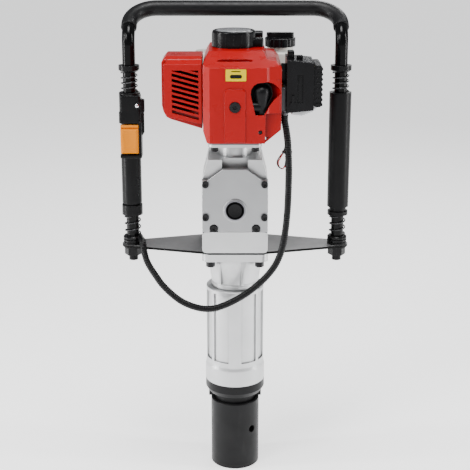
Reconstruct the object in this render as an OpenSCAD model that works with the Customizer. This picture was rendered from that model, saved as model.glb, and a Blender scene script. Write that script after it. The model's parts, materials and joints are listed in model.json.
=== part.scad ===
// Hand-held petrol post driver: engine, bevel gearbox, percussion cylinder, post sleeve and U-shaped handlebar.
// Millimetres, +Z up. The origin is the centre of the sleeve's lower mouth. -Y is the front; the operator is at +Y.

/* [Post sleeve and anvil] */
// Outer radius of the steel sleeve
sleeve_r = 43.5; // [42.5:0.5:46]
// Bore radius of the sleeve, which takes the post
sleeve_bore_r = 37.5; // [37:0.1:38]
// Length of the sleeve
sleeve_len = 128; // [120:0.5:129]
// Radius of the cross hole in the sleeve
cross_hole_r = 7; // [4:0.5:9]
// Height of the cross hole above the mouth
cross_hole_z = 75; // [40:1:85]
// Radius of the anvil's shank
anvil_r = 35.95; // [35.9:0.01:35.97]
/* [Percussion cylinder] */
// Outer radius of the cylinder over its ribs
cylinder_r = 50.8; // [49:0.1:52]
// Bore radius of the cylinder
bore_r = 28.05; // [28.03:0.01:28.1]
// Radius of the ram and of the drive piston
piston_r = 27.98; // [27.9:0.01:27.99]
// Depth of the panels between the ribs
panel_depth = 2.8; // [1:0.2:3]

/* [Gearbox] */
// Half width of the gearbox
gear_half_w = 56; // [54:0.5:58]
// Height of the crank's axis above the mouth
crank_z = 497; // [495:1:500]
// Throw of the drive crank
crank_throw = 12; // [8:1:12]
// Length of the hammer rod between its eyes
rod_len = 140; // [138:1:142]

/* [Handlebar] */
// Distance of each leg from the middle
leg_x = 179.5; // [175:0.5:190]
// Radius of the handlebar's tube
tube_r = 11; // [10.9:0.05:11]
// Height at which the legs bend backward
bend_z = 770; // [765:1:775]
// Thickness of the handle plate
plate_t = 4; // [3:0.5:4]
// Radius of the foam on the top bar
foam_r = 13.5; // [12.5:0.5:15]
// Radius of the rubber grips
grip_r = 18.4; // [16:0.1:19]

/* [Engine] */
// Height of the engine cylinder's axis
engine_z = 684; // [683:1:685]
// Throw of the engine's crankshaft
engine_throw = 15; // [12:1:15]
// Bore radius of the engine's cylinder
engine_bore_r = 22.03; // [22:0.01:22.1]
// Number of cooling fins
fin_count = 8; // [4:1:8]
// Number of louvres in the muffler's cover
louvre_count = 9; // [5:1:10]
// Number of ribs on the air filter's cover
filter_ribs = 8; // [4:1:9]

/* [Hidden] */
$fn = 64;
steel = "#8d8f92";
dark_steel = "#3a3b3e";
black = "#1b1b1d";
cast = "#c3c5c7";
red = "#c01c1f";
rubber = "#232325";
seat_r = 36.3;
cylinder_z = 167;
cylinder_top = 345;
plate_z = 417;
plate_top = plate_z + plate_t;
gear_z = 421;
cover_y = -60;
case_y = -50;
wrist_z = crank_z - crank_throw - rod_len;
engine_wrist_y = -65;
corner_r = 45;
tilt = 60;
bend_r = 30;
bar_run = 12;
spring_coils_top = 3.5;
spring_coils_low = 2.75;
top_spring_z = 690.3;
top_spring_end = 724.2;
low_spring_z = 437.2;
low_spring_end = 473.7;
grip_low = 474;
conduit_r = 6.2;
conduit_route = [[-164, -13, 431], [-161.5, -21.5, 430.5], [-159.5, -30, 425], [-157.5, -34.5, 414],
    [-153, -40, 400], [-145, -46, 387], [-136, -51, 375], [-127, -57, 364], [-111, -63, 349], [-93, -67, 336], [-74, -70, 328], [-55, -72, 324],
    [-36, -73, 325], [-18, -73, 331], [2, -73, 341], [22, -73, 354], [40, -73, 369], [56, -74, 386],
    [69, -75, 405], [78, -76, 427], [83, -76, 450], [86, -77, 475], [88, -78, 500], [89, -78, 525],
    [89.5, -78, 550], [89.5, -78, 575], [88.5, -78, 600], [87, -77, 622], [84.5, -74.5, 640],
    [82, -72, 654], [82, -72, 664]];
wire_route = [[86, -67.4, 628], [86, -68.2, 615], [84, -68.6, 604], [77, -69, 595], [71.5, -70, 585],
    [73, -70.5, 577], [79, -70.5, 573], [84, -70, 579], [86, -69.4, 588]];
shroud_front = [[-46, 625], [50, 625], [75, 646], [75, 747], [67, 756], [52, 758], [47, 768], [-43, 768],
    [-49, 758], [-52, 750], [-52, 643]];
shroud_side = [[-114, 625], [-114, 748], [-60, 768], [50, 768], [50, 625]];
shroud_top = [[-52, 50], [-52, -102], [-41, -114], [51, -114], [55, -110], [75, -106], [75, 50]];

// ---------- shapes used by several parts ----------

module ring(ro, ri, h) {
    difference() {
        cylinder(r = ro, h = h);
        translate([0, 0, -1]) cylinder(r = ri, h = h + 2);
    }
}

// A cylinder along Y that starts at y and runs toward +Y
module y_rod(r, y, len) {
    translate([0, y, 0]) rotate([-90, 0, 0]) cylinder(r = r, h = len);
}

// A cylinder along X that starts at x and runs toward +X
module x_rod(r, x, len) {
    translate([x, 0, 0]) rotate([0, 90, 0]) cylinder(r = r, h = len);
}

// A box between two corners
module block(a, b) {
    translate(a) cube(b - a);
}

// A box whose four edges along Y are rounded
module y_block(a, b, r) {
    block([a.x + r, a.y, a.z], [b.x - r, b.y, b.z]);
    block([a.x, a.y, a.z + r], [b.x, b.y, b.z - r]);
    for (x = [a.x + r, b.x - r])
        for (z = [a.z + r, b.z - r])
            translate([x, 0, z]) y_rod(r, a.y, b.y - a.y);
}

// A box whose four edges along Z are rounded
module z_block(a, b, r) {
    block([a.x + r, a.y, a.z], [b.x - r, b.y, b.z]);
    block([a.x, a.y + r, a.z], [b.x, b.y - r, b.z]);
    for (x = [a.x + r, b.x - r])
        for (y = [a.y + r, b.y - r])
            translate([x, y, a.z]) cylinder(r = r, h = b.z - a.z);
}

// An outline in X and Z made solid between two depths
module xz_solid(points, y0, y1) {
    translate([0, y1, 0]) rotate([90, 0, 0]) linear_extrude(y1 - y0) polygon(points);
}

// An outline in Y and Z made solid between two widths
module yz_solid(points, x0, x1) {
    translate([x0, 0, 0]) rotate([90, 0, 90]) linear_extrude(x1 - x0) polygon(points);
}

function unit(v) = v / norm(v);
function along(p, i) = unit(p[min(i + 1, len(p) - 1)] - p[max(i - 1, 0)]);
function circle_at(c, t, side, r, n) = let (u = unit(cross(t, side)), w = cross(t, u))
    [for (k = [0:n - 1]) c + r * (cos(360 * k / n) * u + sin(360 * k / n) * w)];

// A round tube that follows a list of points; side is never parallel to the route
module swept(route, r, n, side) {
    last = len(route) - 1;
    rings = [for (i = [0:last]) each circle_at(route[i], along(route, i), side, r, n)];
    walls = [for (i = [0:last - 1]) for (k = [0:n - 1])
        [i * n + k, i * n + (k + 1) % n, (i + 1) * n + (k + 1) % n, (i + 1) * n + k]];
    ends = [[for (k = [n - 1:-1:0]) k], [for (k = [0:n - 1]) last * n + k]];
    polyhedron(points = rings, faces = [for (f = concat(walls, ends)) [for (k = [len(f) - 1:-1:0]) f[k]]],
        convexity = 8);
}

// A compression spring round a leg
module coil(z0, z1, turns, r, wire_r) {
    steps = ceil(turns * 20);
    rise = z1 - z0 - 2 * wire_r;
    swept([for (i = [0:steps]) [r * cos(360 * turns * i / steps), r * sin(360 * turns * i / steps),
        z0 + wire_r + rise * i / steps]], wire_r, 8, [0, 0, 1]);
}

module both_legs() {
    for (side = [-1, 1]) translate([side * leg_x, 0, 0]) children();
}

module four_corners(x, y) {
    for (sx = [-1, 1])
        for (sy = [-1, 1]) translate([sx * x, sy * y, 0]) children();
}

// ---------- sleeve, anvil and nose ----------

module post_sleeve() {
    color(dark_steel) difference() {
        rotate_extrude() polygon([[sleeve_bore_r, 0], [sleeve_r - 1.2, 0], [sleeve_r, 1.2],
            [sleeve_r, sleeve_len - 1.5], [sleeve_r - 1.5, sleeve_len], [sleeve_bore_r + 1.5, sleeve_len],
            [seat_r, sleeve_len - 1.5], [seat_r, 111], [37.4, 111], [37.4, 108], [seat_r, 108],
            [seat_r, 95], [38.3, 95], [38.3, 92], [sleeve_bore_r, 92]]);
        rotate([0, 0, -45]) translate([0, 0, cross_hole_z]) x_rod(cross_hole_r, 25, 30);
    }
}

module anvil() {
    color(steel) rotate_extrude() polygon([[0, 95], [34, 95], [anvil_r, 97], [anvil_r, 108], [34.3, 108],
        [34.3, 111], [anvil_r, 111], [anvil_r, 177], [40.6, 177], [40.6, 189], [20, 189], [20, 213.5],
        [18.5, 215], [0, 215]]);
}

module sleeve_ring() {
    color(steel) rotate([0, 0, 15]) translate([0, 0, 108.2]) rotate_extrude(angle = 330)
        translate([34.5, 0]) square([2.7, 2.6]);
}

module nose_collar() {
    color(black) difference() {
        union() {
            rotate_extrude() polygon([[36.03, 147.5], [43.5, 147.5], [44.5, 143], [47.5, 143], [53, 152],
                [53, cylinder_z], [45, cylinder_z], [45, 158], [41, 158], [41, 157], [36.03, 157]]);
            for (a = [0, 180]) rotate([0, 0, a]) block([37.5, -9, 132], [47.3, 9, 152]);
        }
        translate([0, 0, 150]) cylinder(r = 39, h = 4);
    }
}

// The wiper in the collar and the two rubber rings that stop the anvil's flange
module nose_rubbers() {
    color(rubber) {
        translate([0, 0, 150]) ring(39, 36.03, 4);
        translate([0, 0, 157]) ring(40.8, 36.6, 3.4);
        translate([0, 0, 189.3]) ring(40.8, 20.6, 7.9);
    }
}

// Recess between two ribs
module panel_cut(angle, width) {
    rotate([0, 0, angle - width / 2]) translate([0, 0, 210.5]) rotate_extrude(angle = width)
        translate([cylinder_r - panel_depth, 0]) square([10, 127.5]);
}

module cylinder_tube() {
    color(cast) difference() {
        rotate_extrude() polygon([[41, 158.3], [44.9, 158.3], [44.9, cylinder_z], [53, cylinder_z], [53, 194],
            [cylinder_r, 203], [cylinder_r, cylinder_top - 1], [49.8, cylinder_top],
            [bore_r, cylinder_top], [bore_r, 197.2], [41, 197.2]]);
        for (a = [-120, -60, 60, 120]) panel_cut(a, 34);
        for (a = [-157, -23, 23, 157]) panel_cut(a, 25);
    }
}

module ram() {
    color(steel) rotate_extrude() polygon([[0, 215.3], [26.5, 215.3], [piston_r, 217], [piston_r, 232], [26.8, 232],
        [26.8, 235], [piston_r, 235], [piston_r, 248], [26.8, 248], [26.8, 251], [piston_r, 251],
        [piston_r, 264], [26.5, 265.3], [0, 265.3]]);
}

// The piston and its two split rings
module drive_piston() {
    color(steel) rotate_extrude() polygon([[0, 299], [27, 299], [piston_r, 300], [piston_r, 302.9], [25, 302.9],
        [25, 305.1], [piston_r, 305.1], [piston_r, 307.9], [25, 307.9], [25, 310.1], [piston_r, 310.1],
        [piston_r, 356], [22.5, 356], [22.5, 311], [0, 311]]);
    color(dark_steel) for (z = [303, 308]) translate([0, 0, z]) rotate_extrude(angle = 352)
        translate([25.1, 0]) square([2.85, 2]);
}

// Rod with its wrist pin, which the piston takes with clearance
module hammer_rod() {
    color(steel) difference() {
        union() {
            translate([0, 0, wrist_z]) y_rod(8, -6, 12);
            translate([0, 0, wrist_z]) y_rod(4.5, -11, 22);
            translate([0, 0, crank_z - crank_throw]) y_rod(14, -6, 12);
            block([-5.5, -5, wrist_z + 5], [5.5, 5, crank_z - crank_throw - 10]);
        }
        translate([0, 0, crank_z - crank_throw]) y_rod(8.06, -7, 14);
    }
}

module percussion_neck() {
    color(cast) difference() {
        union() {
            rotate_extrude() polygon([[31, cylinder_top], [41, cylinder_top], [41.6, 346], [41.6, 352],
                [40.8, 353], [40.8, 355], [42, 356], [46.5, 385], [48, 403.5], [31, 403.5]]);
            z_block([-57, -57, 403.5], [57, 57, plate_z], 12);
            for (a = [-124, -74, 56, 106]) rotate([0, 0, a]) block([38, -2, 356], [47.5, 2, 404]);
        }
        translate([0, 0, 344]) cylinder(r = 31, h = 80);
        four_corners(42.5, 42.5) translate([0, 0, 400]) cylinder(r = 5.1, h = 20);
    }
}

// ---------- handle plate and gearbox ----------

module handle_plate() {
    color(steel) difference() {
        union() {
            translate([0, 0, plate_z]) linear_extrude(plate_t) polygon([[-leg_x, -19], [-160, -24],
                [-58, -52], [58, -52], [160, -24], [leg_x, -19], [leg_x, 19], [160, 24], [58, 52],
                [-58, 52], [-160, 24], [-leg_x, 19]]);
            both_legs() translate([0, 0, plate_z]) cylinder(r = 19, h = plate_t);
        }
        translate([0, 0, plate_z - 1]) cylinder(r = 31, h = 10);
        four_corners(42.5, 42.5) translate([0, 0, plate_z - 1]) cylinder(r = 5.1, h = 10);
        both_legs() translate([0, 0, plate_z - 1]) cylinder(r = 8.1, h = 10);
    }
}

// Hexagon bolts through the plate and cap screws under the clutch housing
module frame_bolts() {
    color(black) {
        four_corners(42.5, 42.5) {
            translate([0, 0, 391.5]) cylinder(r = 7.8, h = 12, $fn = 6);
            translate([0, 0, 403.5]) cylinder(r = 5, h = 31);
        }
        four_corners(34.5, 34.5) {
            translate([0, 0, 595]) cylinder(r = 6.6, h = 8);
            translate([0, 0, 603]) cylinder(r = 4, h = 10.8);
        }
    }
}

module gearbox_housing() {
    front = [[-gear_half_w, 455], [gear_half_w, 455], [gear_half_w, 545], [46, 583], [-46, 583],
        [-gear_half_w, 545]];
    color(cast) difference() {
        union() {
            xz_solid(front, case_y, 56);
            y_block([-gear_half_w, cover_y, gear_z], [gear_half_w, 56, 458.6], 7);
            translate([0, 0, 583]) cylinder(r = 27, h = 20);
            for (sx = [-1, 1]) block([sx * 34.5 - 5, 20, 583], [sx * 34.5 + 5, 26, 603]);
            z_block([-45.5, -45.5, 603], [45.5, 45.5, 608], 10);
        }
        block([-46, -51, 452], [46, 38, 545]);
        block([-34, -51, 544], [34, 38, 560]);
        translate([0, 0, 420]) cylinder(r = 31, h = 40);
        translate([0, 0, 559]) cylinder(r = 17.05, h = 50);
        translate([0, 0, crank_z]) y_rod(22.05, 37, 14);
        four_corners(42.5, 42.5) translate([0, 0, 420]) cylinder(r = 5.05, h = 15.5);
        four_corners(34.5, 34.5) translate([0, 0, 602]) cylinder(r = 4.1, h = 7);
        for (s = [-1, 1]) translate([s * 36, 0, 465]) y_rod(3.05, case_y - 1, 9);
        for (s = [-1, 1]) for (z = [485, 543]) translate([s * 50, 0, z]) y_rod(3.05, case_y - 1, 9);
        block([-22, -51, 566], [22, -36, 590]);
    }
}

module gearbox_cover() {
    outline = [[-gear_half_w, 459], [gear_half_w, 459], [gear_half_w, 550], [46, 550], [20, 569], [-20, 569],
        [-46, 550], [-gear_half_w, 550]];
    color(cast) difference() {
        union() {
            xz_solid(outline, cover_y, case_y);
            translate([0, 0, crank_z]) y_rod(20, cover_y - 1.5, 15.5);
        }
        translate([0, 0, crank_z]) y_rod(15.5, cover_y - 3, 18);
        for (s = [-1, 1]) translate([s * 36, 0, 465]) y_rod(3.1, cover_y - 1, 12);
        for (s = [-1, 1]) translate([s * 36, 0, 465]) y_rod(7, cover_y - 1, 4);
        for (s = [-1, 1]) block([s * 36 - 7, cover_y - 1, 458], [s * 36 + 7, cover_y + 3, 465]);
        for (s = [-1, 1]) for (z = [485, 543]) translate([s * 50, 0, z]) y_rod(3.1, cover_y - 1, 12);
    }
}

// Socket-head screw along Y; its head's rear face is at y
module y_screw(head_r, head_h, shank_r, shank_len) {
    difference() {
        y_rod(head_r, -head_h, head_h);
        rotate([90, 0, 0]) translate([0, 0, head_h - 2.5]) cylinder(r = head_r * 0.55, h = 4, $fn = 6);
    }
    y_rod(shank_r, 0, shank_len);
}

module cover_screws() {
    color(black) {
        for (s = [-1, 1]) translate([s * 36, cover_y + 3, 465]) y_screw(6.1, 5, 3, 14);
        for (s = [-1, 1]) for (z = [485, 543]) translate([s * 50, cover_y, z]) y_screw(5.8, 5, 3, 17);
    }
}

module crank_plug() {
    color(black) difference() {
        translate([0, 0, crank_z]) y_rod(15.45, -62.5, 5.5);
        translate([0, 0, crank_z]) y_rod(12, -63, 1.5);
    }
}

module shaft_bearings() {
    color(steel) {
        translate([0, -47, crank_z]) rotate([90, 0, 0]) ring(15.45, 10.05, 9);
        translate([0, 50, crank_z]) rotate([90, 0, 0]) ring(22, 12.05, 11);
        for (z = [562, 588, 649, 702]) translate([0, 0, z]) ring(17, 8.05, 11);
    }
}

module drive_crank() {
    color(steel) translate([0, 0, crank_z]) {
        y_rod(10, -55.5, 41.6);
        y_rod(22, -14, 7);
        translate([0, 0, -crank_throw]) y_rod(8, -7, 14);
        y_rod(22, 7, 3);
        y_rod(12, 10, 40);
    }
}

// The teeth of both bevel wheels are drawn short, so that the wheels clear each other at every angle
module bevel_gear() {
    color(dark_steel) translate([0, 0, crank_z]) difference() {
        translate([0, 26, 0]) rotate([90, 0, 0]) rotate_extrude() polygon([[12.02, 0], [36, 0], [40, 4],
            [40, 15], [28.5, 17.8], [26, 15.9], [12.02, 15.9]]);
        for (a = [0:9:351]) rotate([0, a, 0]) translate([0, 8.9, 27]) rotate([-13.7, 0, 0])
            rotate([0, 0, 45]) block([-1.1, -1.1, 0], [1.1, 1.1, 15]);
    }
}

module bevel_pinion() {
    color(dark_steel) difference() {
        union() {
            translate([0, 0, 525.6]) rotate_extrude() polygon([[0, 0], [7.4, 0], [10.2, 11.5], [9, 13], [0, 13]]);
            translate([0, 0, 538]) cylinder(r = 8, h = 83.5);
        }
        for (a = [0:36:324]) rotate([0, 0, a]) translate([7.6, 0, 524]) rotate([0, 13.7, 0])
            rotate([0, 0, 45]) block([-1.2, -1.2, 0], [1.2, 1.2, 16]);
    }
}

// ---------- clutch ----------

module clutch_housing() {
    color(cast) difference() {
        union() {
            z_block([-45.5, -45.5, 608], [45.5, 45.5, 616], 10);
            translate([0, 0, 608]) cylinder(r = 45, h = 34);
        }
        translate([0, 0, 607]) cylinder(r = 8.6, h = 20);
        translate([0, 0, 616.5]) cylinder(r = 41, h = 30);
        four_corners(34.5, 34.5) translate([0, 0, 607]) cylinder(r = 4.1, h = 7);
    }
}

module clutch_drum() {
    color(steel) difference() {
        translate([0, 0, 617.5]) cylinder(r = 38, h = 22.5);
        translate([0, 0, 621.5]) cylinder(r = 35.6, h = 20);
        translate([0, 0, 616]) cylinder(r = 8.02, h = 10);
    }
}

module clutch_shoes() {
    color(dark_steel) {
        for (side = [0, 180]) rotate([0, 0, side + 10]) translate([0, 0, 624]) rotate_extrude(angle = 160)
            translate([20, 0]) square([14.8, 13]);
        translate([0, 0, 624]) ring(13, 8.02, 13);
        for (side = [0, 180]) rotate([0, 0, side + 90]) block([12.5, -3, 627], [20.5, 3, 634]);
    }
}

// ---------- engine ----------

module crankcase() {
    color(cast) difference() {
        union() {
            translate([0, 0, 642]) cylinder(r = 44, h = 74);
            block([-31, -44, engine_z - 31], [31, 0, engine_z + 31]);
        }
        translate([0, 0, 662]) cylinder(r = 38, h = 44);
        translate([0, 0, 641]) cylinder(r = 8.6, h = 80);
        translate([0, 0, 648]) cylinder(r = 17.05, h = 15);
        translate([0, 0, 700]) cylinder(r = 17.05, h = 14);
        translate([0, 0, engine_z]) y_rod(22.6, -45, 40);
    }
}

module engine_crankshaft() {
    color(steel) {
        translate([0, 0, 623.5]) cylinder(r = 8, h = 48.6);
        translate([0, 0, 672]) cylinder(r = 22.4, h = 7.6);
        translate([0, 0, 688.4]) cylinder(r = 22.4, h = 7.6);
        translate([0, 0, 695.9]) cylinder(r = 8, h = 60);
        translate([0, -engine_throw, 679]) cylinder(r = 5, h = 0.9);
        translate([0, -engine_throw, 688.1]) cylinder(r = 5, h = 0.9);
    }
}

module engine_conrod() {
    color(steel) translate([0, 0, engine_z - 3.7]) difference() {
        union() {
            translate([0, engine_wrist_y, 0]) cylinder(r = 7, h = 7.4);
            translate([0, -engine_throw, 0]) cylinder(r = 9.5, h = 7.4);
            block([-4, engine_wrist_y + 4, 1], [4, -engine_throw - 7, 6.4]);
        }
        translate([0, engine_wrist_y, -1]) cylinder(r = 4.05, h = 10);
        translate([0, -engine_throw, -1]) cylinder(r = 6, h = 10);
    }
}

module engine_piston() {
    color("#a9abad") translate([0, 0, engine_z]) {
        difference() {
            y_rod(21.95, -79, 25);
            y_rod(18.5, -74, 30);
        }
        translate([0, engine_wrist_y, -19.2]) cylinder(r = 4, h = 38.4);
    }
}

module engine_cylinder() {
    color(cast) translate([0, 0, engine_z]) difference() {
        union() {
            y_rod(27, -96, 52);
            block([-30, -48, -30], [30, -44, 30]);
            for (i = [0:fin_count - 1]) block([-38, -96 + i * 5.6, -37], [38, -94.2 + i * 5.6, 37]);
            translate([0, -60, 6]) x_rod(15, -40, 20);
            translate([0, -58, 6]) x_rod(13, 20, 20);
        }
        y_rod(engine_bore_r, -84, 50);
        translate([0, -60, 6]) x_rod(10, -41, 25);
        translate([0, -58, 6]) x_rod(9, 18, 25);
        translate([10, 0, 0]) y_rod(5.05, -97, 14);
    }
}

module spark_plug() {
    color("#d9d9d4") translate([10, 0, engine_z]) {
        y_rod(5, -96, 11.5);
        translate([0, -96, 0]) rotate([90, 0, 0]) cylinder(r = 8, h = 3.5, $fn = 6);
        y_rod(4.2, -107, 8);
    }
}

module plug_boot() {
    color(black) {
        difference() {
            translate([0, 0, engine_z]) block([1, -110.4, -8], [44, -99.8, 8]);
            translate([10, 0, engine_z]) y_rod(4.3, -108, 10);
        }
        difference() {
            translate([43, -104, 669]) cylinder(r1 = 6.5, r2 = 12.5, h = 36);
            block([20, -96.4, 660], [60, -80, 710]);
        }
        difference() {
            translate([43, -104, 705]) cylinder(r1 = 12.5, r2 = 6, h = 13);
            block([20, -96.4, 700], [60, -80, 720]);
        }
    }
}

module flywheel() {
    color(steel) {
        difference() {
            translate([0, 0, 720]) cylinder(r = 45, h = 14);
            translate([0, 0, 719]) cylinder(r = 8.02, h = 20);
        }
        for (a = [0:30:330]) rotate([0, 0, a]) block([24, -1.2, 733.5], [44, 1.2, 746]);
        translate([0, 0, 734]) ring(20, 16, 16);
    }
}

// The shroud's form, each side moved inward by the inset
module shroud_form(inset) {
    intersection() {
        translate([0, 50, 0]) rotate([90, 0, 0]) linear_extrude(164) offset(delta = -inset)
            polygon(shroud_front);
        translate([-60, 0, 0]) rotate([90, 0, 90]) linear_extrude(150) offset(delta = -inset)
            polygon(shroud_side);
        translate([0, 0, 620]) linear_extrude(150) offset(delta = -inset) polygon(shroud_top);
    }
}

module engine_shroud() {
    color(red) difference() {
        union() {
            shroud_form(0);
            y_block([-17, -116.5, 627], [17, -112, 714], 4);
        }
        shroud_form(3);
        block([-44, -45.8, 617], [48, 60, 645]);
        block([-49, -100, 617], [60, 60, 630]);
        block([-49, 40, 630], [72, 60, 752]);
        translate([0, 0, 760]) cylinder(r = 34, h = 20);
        block([-60, -88, 668], [-40, -30, 712]);
        block([60, -84, 664], [90, -16, 740]);
        translate([0, 0, 685]) y_rod(9, -120, 20);
        translate([42, 0, 706]) y_rod(16, -120, 22);
        translate([44, 0, 678]) y_rod(8, -120, 22);
        xz_solid([[26, 706], [36, 678], [52, 678], [58, 706]], -120, -98);
        translate([0, -86, 754.5]) y_block([-26, -8, 0], [28, 5, 5], 2.4);
    }
}

module shroud_bolt() {
    color(black) translate([0, 0, 685]) {
        difference() {
            y_rod(8.4, -118, 6.5);
            translate([0, -115, 0]) rotate([90, 0, 0]) cylinder(r = 4.4, h = 5, $fn = 6);
        }
    }
}

module muffler() {
    color("#7c7d7f") {
        y_block([-110, -92, 674], [-57, -24, 744], 8);
        translate([0, -60, engine_z + 6]) x_rod(14, -57.5, 17.5);
    }
}

module muffler_cover() {
    shell = [[-119.5, 683], [-117, 672], [-112, 663], [-104, 659], [-53.5, 643.5], [-53.5, 762], [-112, 762],
        [-119.5, 753]];
    shell_inner = [[-117, 683], [-114.6, 673], [-110.5, 665], [-103, 661.5], [-50, 646], [-50, 759.5],
        [-111, 759.5], [-117, 752]];
    panel = [[-115, 673], [-108.5, 665.5], [-53.5, 653.5], [-53.5, 757], [-108.5, 757], [-115, 750.5]];
    panel_inner = [[-112.5, 674], [-107.5, 668], [-50, 656], [-50, 748.5], [-108, 748.5], [-112.5, 744]];
    color(red) difference() {
        union() {
            intersection() {
                xz_solid(shell, -85, -18);
                yz_solid([[-85, 640], [-85, 757], [-77, 762], [-18, 762], [-18, 640]], -130, -50);
            }
            intersection() {
                xz_solid(panel, -97, -84);
                yz_solid([[-97, 640], [-97, 751], [-84, 757], [-84, 640]], -130, -50);
            }
        }
        intersection() {
            xz_solid(shell_inner, -82.5, -17);
            yz_solid([[-82.5, 640], [-82.5, 755], [-76, 759.5], [-17, 759.5], [-17, 640]], -130, -49);
        }
        xz_solid(panel_inner, -94.5, -80);
        for (i = [0:louvre_count - 1]) translate([-80.5, -100, 737.2 - i * 8.55]) rotate([0, 15.4, 0])
            block([-21.5, 0, -2.2], [21.5, 6, 2.2]);
        for (y = [-62, -47]) y_block([-104, y, 755], [-80, y + 4, 765], 2);
    }
}

module carburettor() {
    color("#9a9c9e") difference() {
        union() {
            block([58.3, -76, 671.5], [83.7, -40, 710]);
            translate([0, -58, 690]) x_rod(13, 40.3, 20);
            translate([82, -72, 664]) cylinder(r = 6, h = 6.2);
            block([73, -76, 666], [83.7, -66, 672]);
        }
        translate([0, -58, 690]) x_rod(8, 40, 50);
        translate([73, -58, 678]) cylinder(r = 9.03, h = 40);
    }
}

module throttle_valve() {
    color("#c9a24a") {
        difference() {
            translate([73, -58, 678.5]) cylinder(r = 8.97, h = 31.5);
            translate([0, -58, 690]) x_rod(8, 60, 30);
        }
        translate([73, -58, 710]) cylinder(r = 7, h = 3.8);
        block([70, -78, 710.4], [76, -56, 713.8]);
    }
}

module air_box() {
    outline = [[84, 670.5], [128, 675], [128, 752], [84, 757]];
    color(black) difference() {
        union() {
            xz_solid(outline, -90, -12);
            block([76.5, -36, 672], [88, -32, 744]);
        }
        block([87, -87, 678], [130, -15, 749]);
        block([101, -92, 687], [110.5, -88, 734]);
        translate([0, -58, 690]) x_rod(8, 82, 10);
        translate([94, 0, 684]) y_rod(2.56, -91, 5);
    }
}

module filter_element() {
    color("#c8b46a") block([108, -86, 679], [126, -17, 747]);
}

module filter_cover() {
    color(black) {
        y_block([128.3, -88, 680], [141, -14, 748], 4);
        for (i = [0:filter_ribs - 1]) y_block([131, -89.5, 682 + i * 8.3], [142.6, -13, 686.4 + i * 8.3], 2);
    }
}

module choke_lever() {
    color(black) translate([94, 0, 684]) {
        y_rod(2.5, -93, 6.8);
        y_rod(5, -94, 3.6);
        block([-2.2, -94, 0], [2.2, -90.4, 16]);
    }
}

module fuel_tank() {
    color("#e7e5dc") difference() {
        union() {
            z_block([-70, 53, 655], [104, 112, 748], 14);
            translate([79, 81, 747]) cylinder(r = 23, h = 16);
        }
        z_block([-67.5, 55.5, 657.5], [101.5, 109.5, 745.5], 12);
        translate([79, 81, 744]) cylinder(r = 19.5, h = 25);
    }
}

// Cap with a grip bar across its top
module fuel_cap() {
    color(black) translate([79, 81, 0]) z_block([-24, -6, 771.5], [24, 6, 781], 5.5);
    color(black) difference() {
        translate([79, 81, 757]) cylinder(r = 27, h = 15);
        translate([79, 81, 756]) cylinder(r = 23.4, h = 7.3);
        for (a = [0:30:330]) translate([79, 81, 756]) rotate([0, 0, a]) translate([28.6, 0, 0])
            cylinder(r = 2.8, h = 17);
    }
}

module starter_housing() {
    color(black) difference() {
        union() {
            translate([-2, 0, 768]) cylinder(r = 37, h = 27);
            z_block([20, -14, 768], [48, 12, 781.5], 5);
        }
        translate([-2, 0, 767]) cylinder(r = 32, h = 24);
        translate([21, 0, 781]) y_rod(3, 0, 40);
    }
}

module starter_pulley() {
    color("#3c3c3e") translate([0, 0, 776]) difference() {
        cylinder(r = 24, h = 10);
        translate([0, 0, -1]) cylinder(r = 5, h = 20);
        translate([0, 0, 3]) ring(25, 19.2, 4);
    }
}

module starter_rope() {
    color("#d8d8d0") translate([21, 0, 781]) y_rod(1.8, 1, 41.5);
}

module pull_handle() {
    color(black) {
        translate([0, 50, 781]) x_rod(7, -6, 54);
        translate([21, 0, 781]) y_rod(6, 42.5, 8);
    }
}

// ---------- handlebar and grips ----------

// The rear-leaning end of one side of the handlebar, from the bend to the middle of the cross bar
module lean(r, start) {
    translate([leg_x, bend_r * (1 - cos(tilt)), bend_z + bend_r * sin(tilt)]) rotate([90 - tilt, 0, 0]) {
        y_rod(r, start, bar_run - start);
        translate([-corner_r, bar_run, 0]) rotate_extrude(angle = 90) translate([corner_r, 0]) circle(r = r);
        translate([0, bar_run + corner_r, 0]) x_rod(r, -leg_x - 1, leg_x - corner_r + 1);
    }
}

module handlebar() {
    color(black) for (side = [0, 1]) mirror([side, 0, 0]) {
        translate([leg_x, 0, plate_top]) cylinder(r = tube_r, h = bend_z - plate_top);
        translate([leg_x, bend_r, bend_z]) rotate([90, 0, -90]) rotate_extrude(angle = tilt)
            translate([bend_r, 0]) circle(r = tube_r);
        lean(tube_r, 0);
        translate([leg_x, 0, 391]) cylinder(r = 8, h = plate_top - 385);
    }
}

module bar_foam() {
    color(rubber) difference() {
        for (side = [0, 1]) mirror([side, 0, 0]) lean(foam_r, 1);
        for (side = [0, 1]) mirror([side, 0, 0]) lean(tube_r + 0.02, 0);
    }
}

// Collars under the bends, ribbed bushes on the plate, washers and nuts under it, and the conduit's gland
module leg_fittings() {
    color(black) translate(conduit_route[0]) rotate([0, 90, atan2(-8.5, 2.5)]) translate([0, 0, -4.6])
        cylinder(r = 6, h = 4);
    color(black) both_legs() {
        translate([0, 0, 724.5]) rotate_extrude() polygon([[tube_r + 0.02, 0], [13.6, 0], [17.8, 3.5],
            [17.8, 11.5], [tube_r + 0.02, 11.5]]);
        translate([0, 0, plate_top]) rotate_extrude() polygon([[tube_r + 0.02, 0], [17, 0], [17, 3], [15.6, 4],
            [17, 5], [17, 8], [15.6, 9], [17, 10], [17, 13], [15.2, 15], [tube_r + 0.02, 15]]);
        translate([0, 0, plate_z - 2.5]) ring(17, 8.02, 2.5);
        difference() {
            translate([0, 0, 401]) cylinder(r = 15.5, h = 13.5, $fn = 6);
            translate([0, 0, 400]) cylinder(r = 8.02, h = 20);
        }
    }
}

module spring_left_top() {
    color(steel) translate([-leg_x, 0, 0]) coil(top_spring_z, top_spring_end, spring_coils_top, 13.2, 1.5);
}

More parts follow.
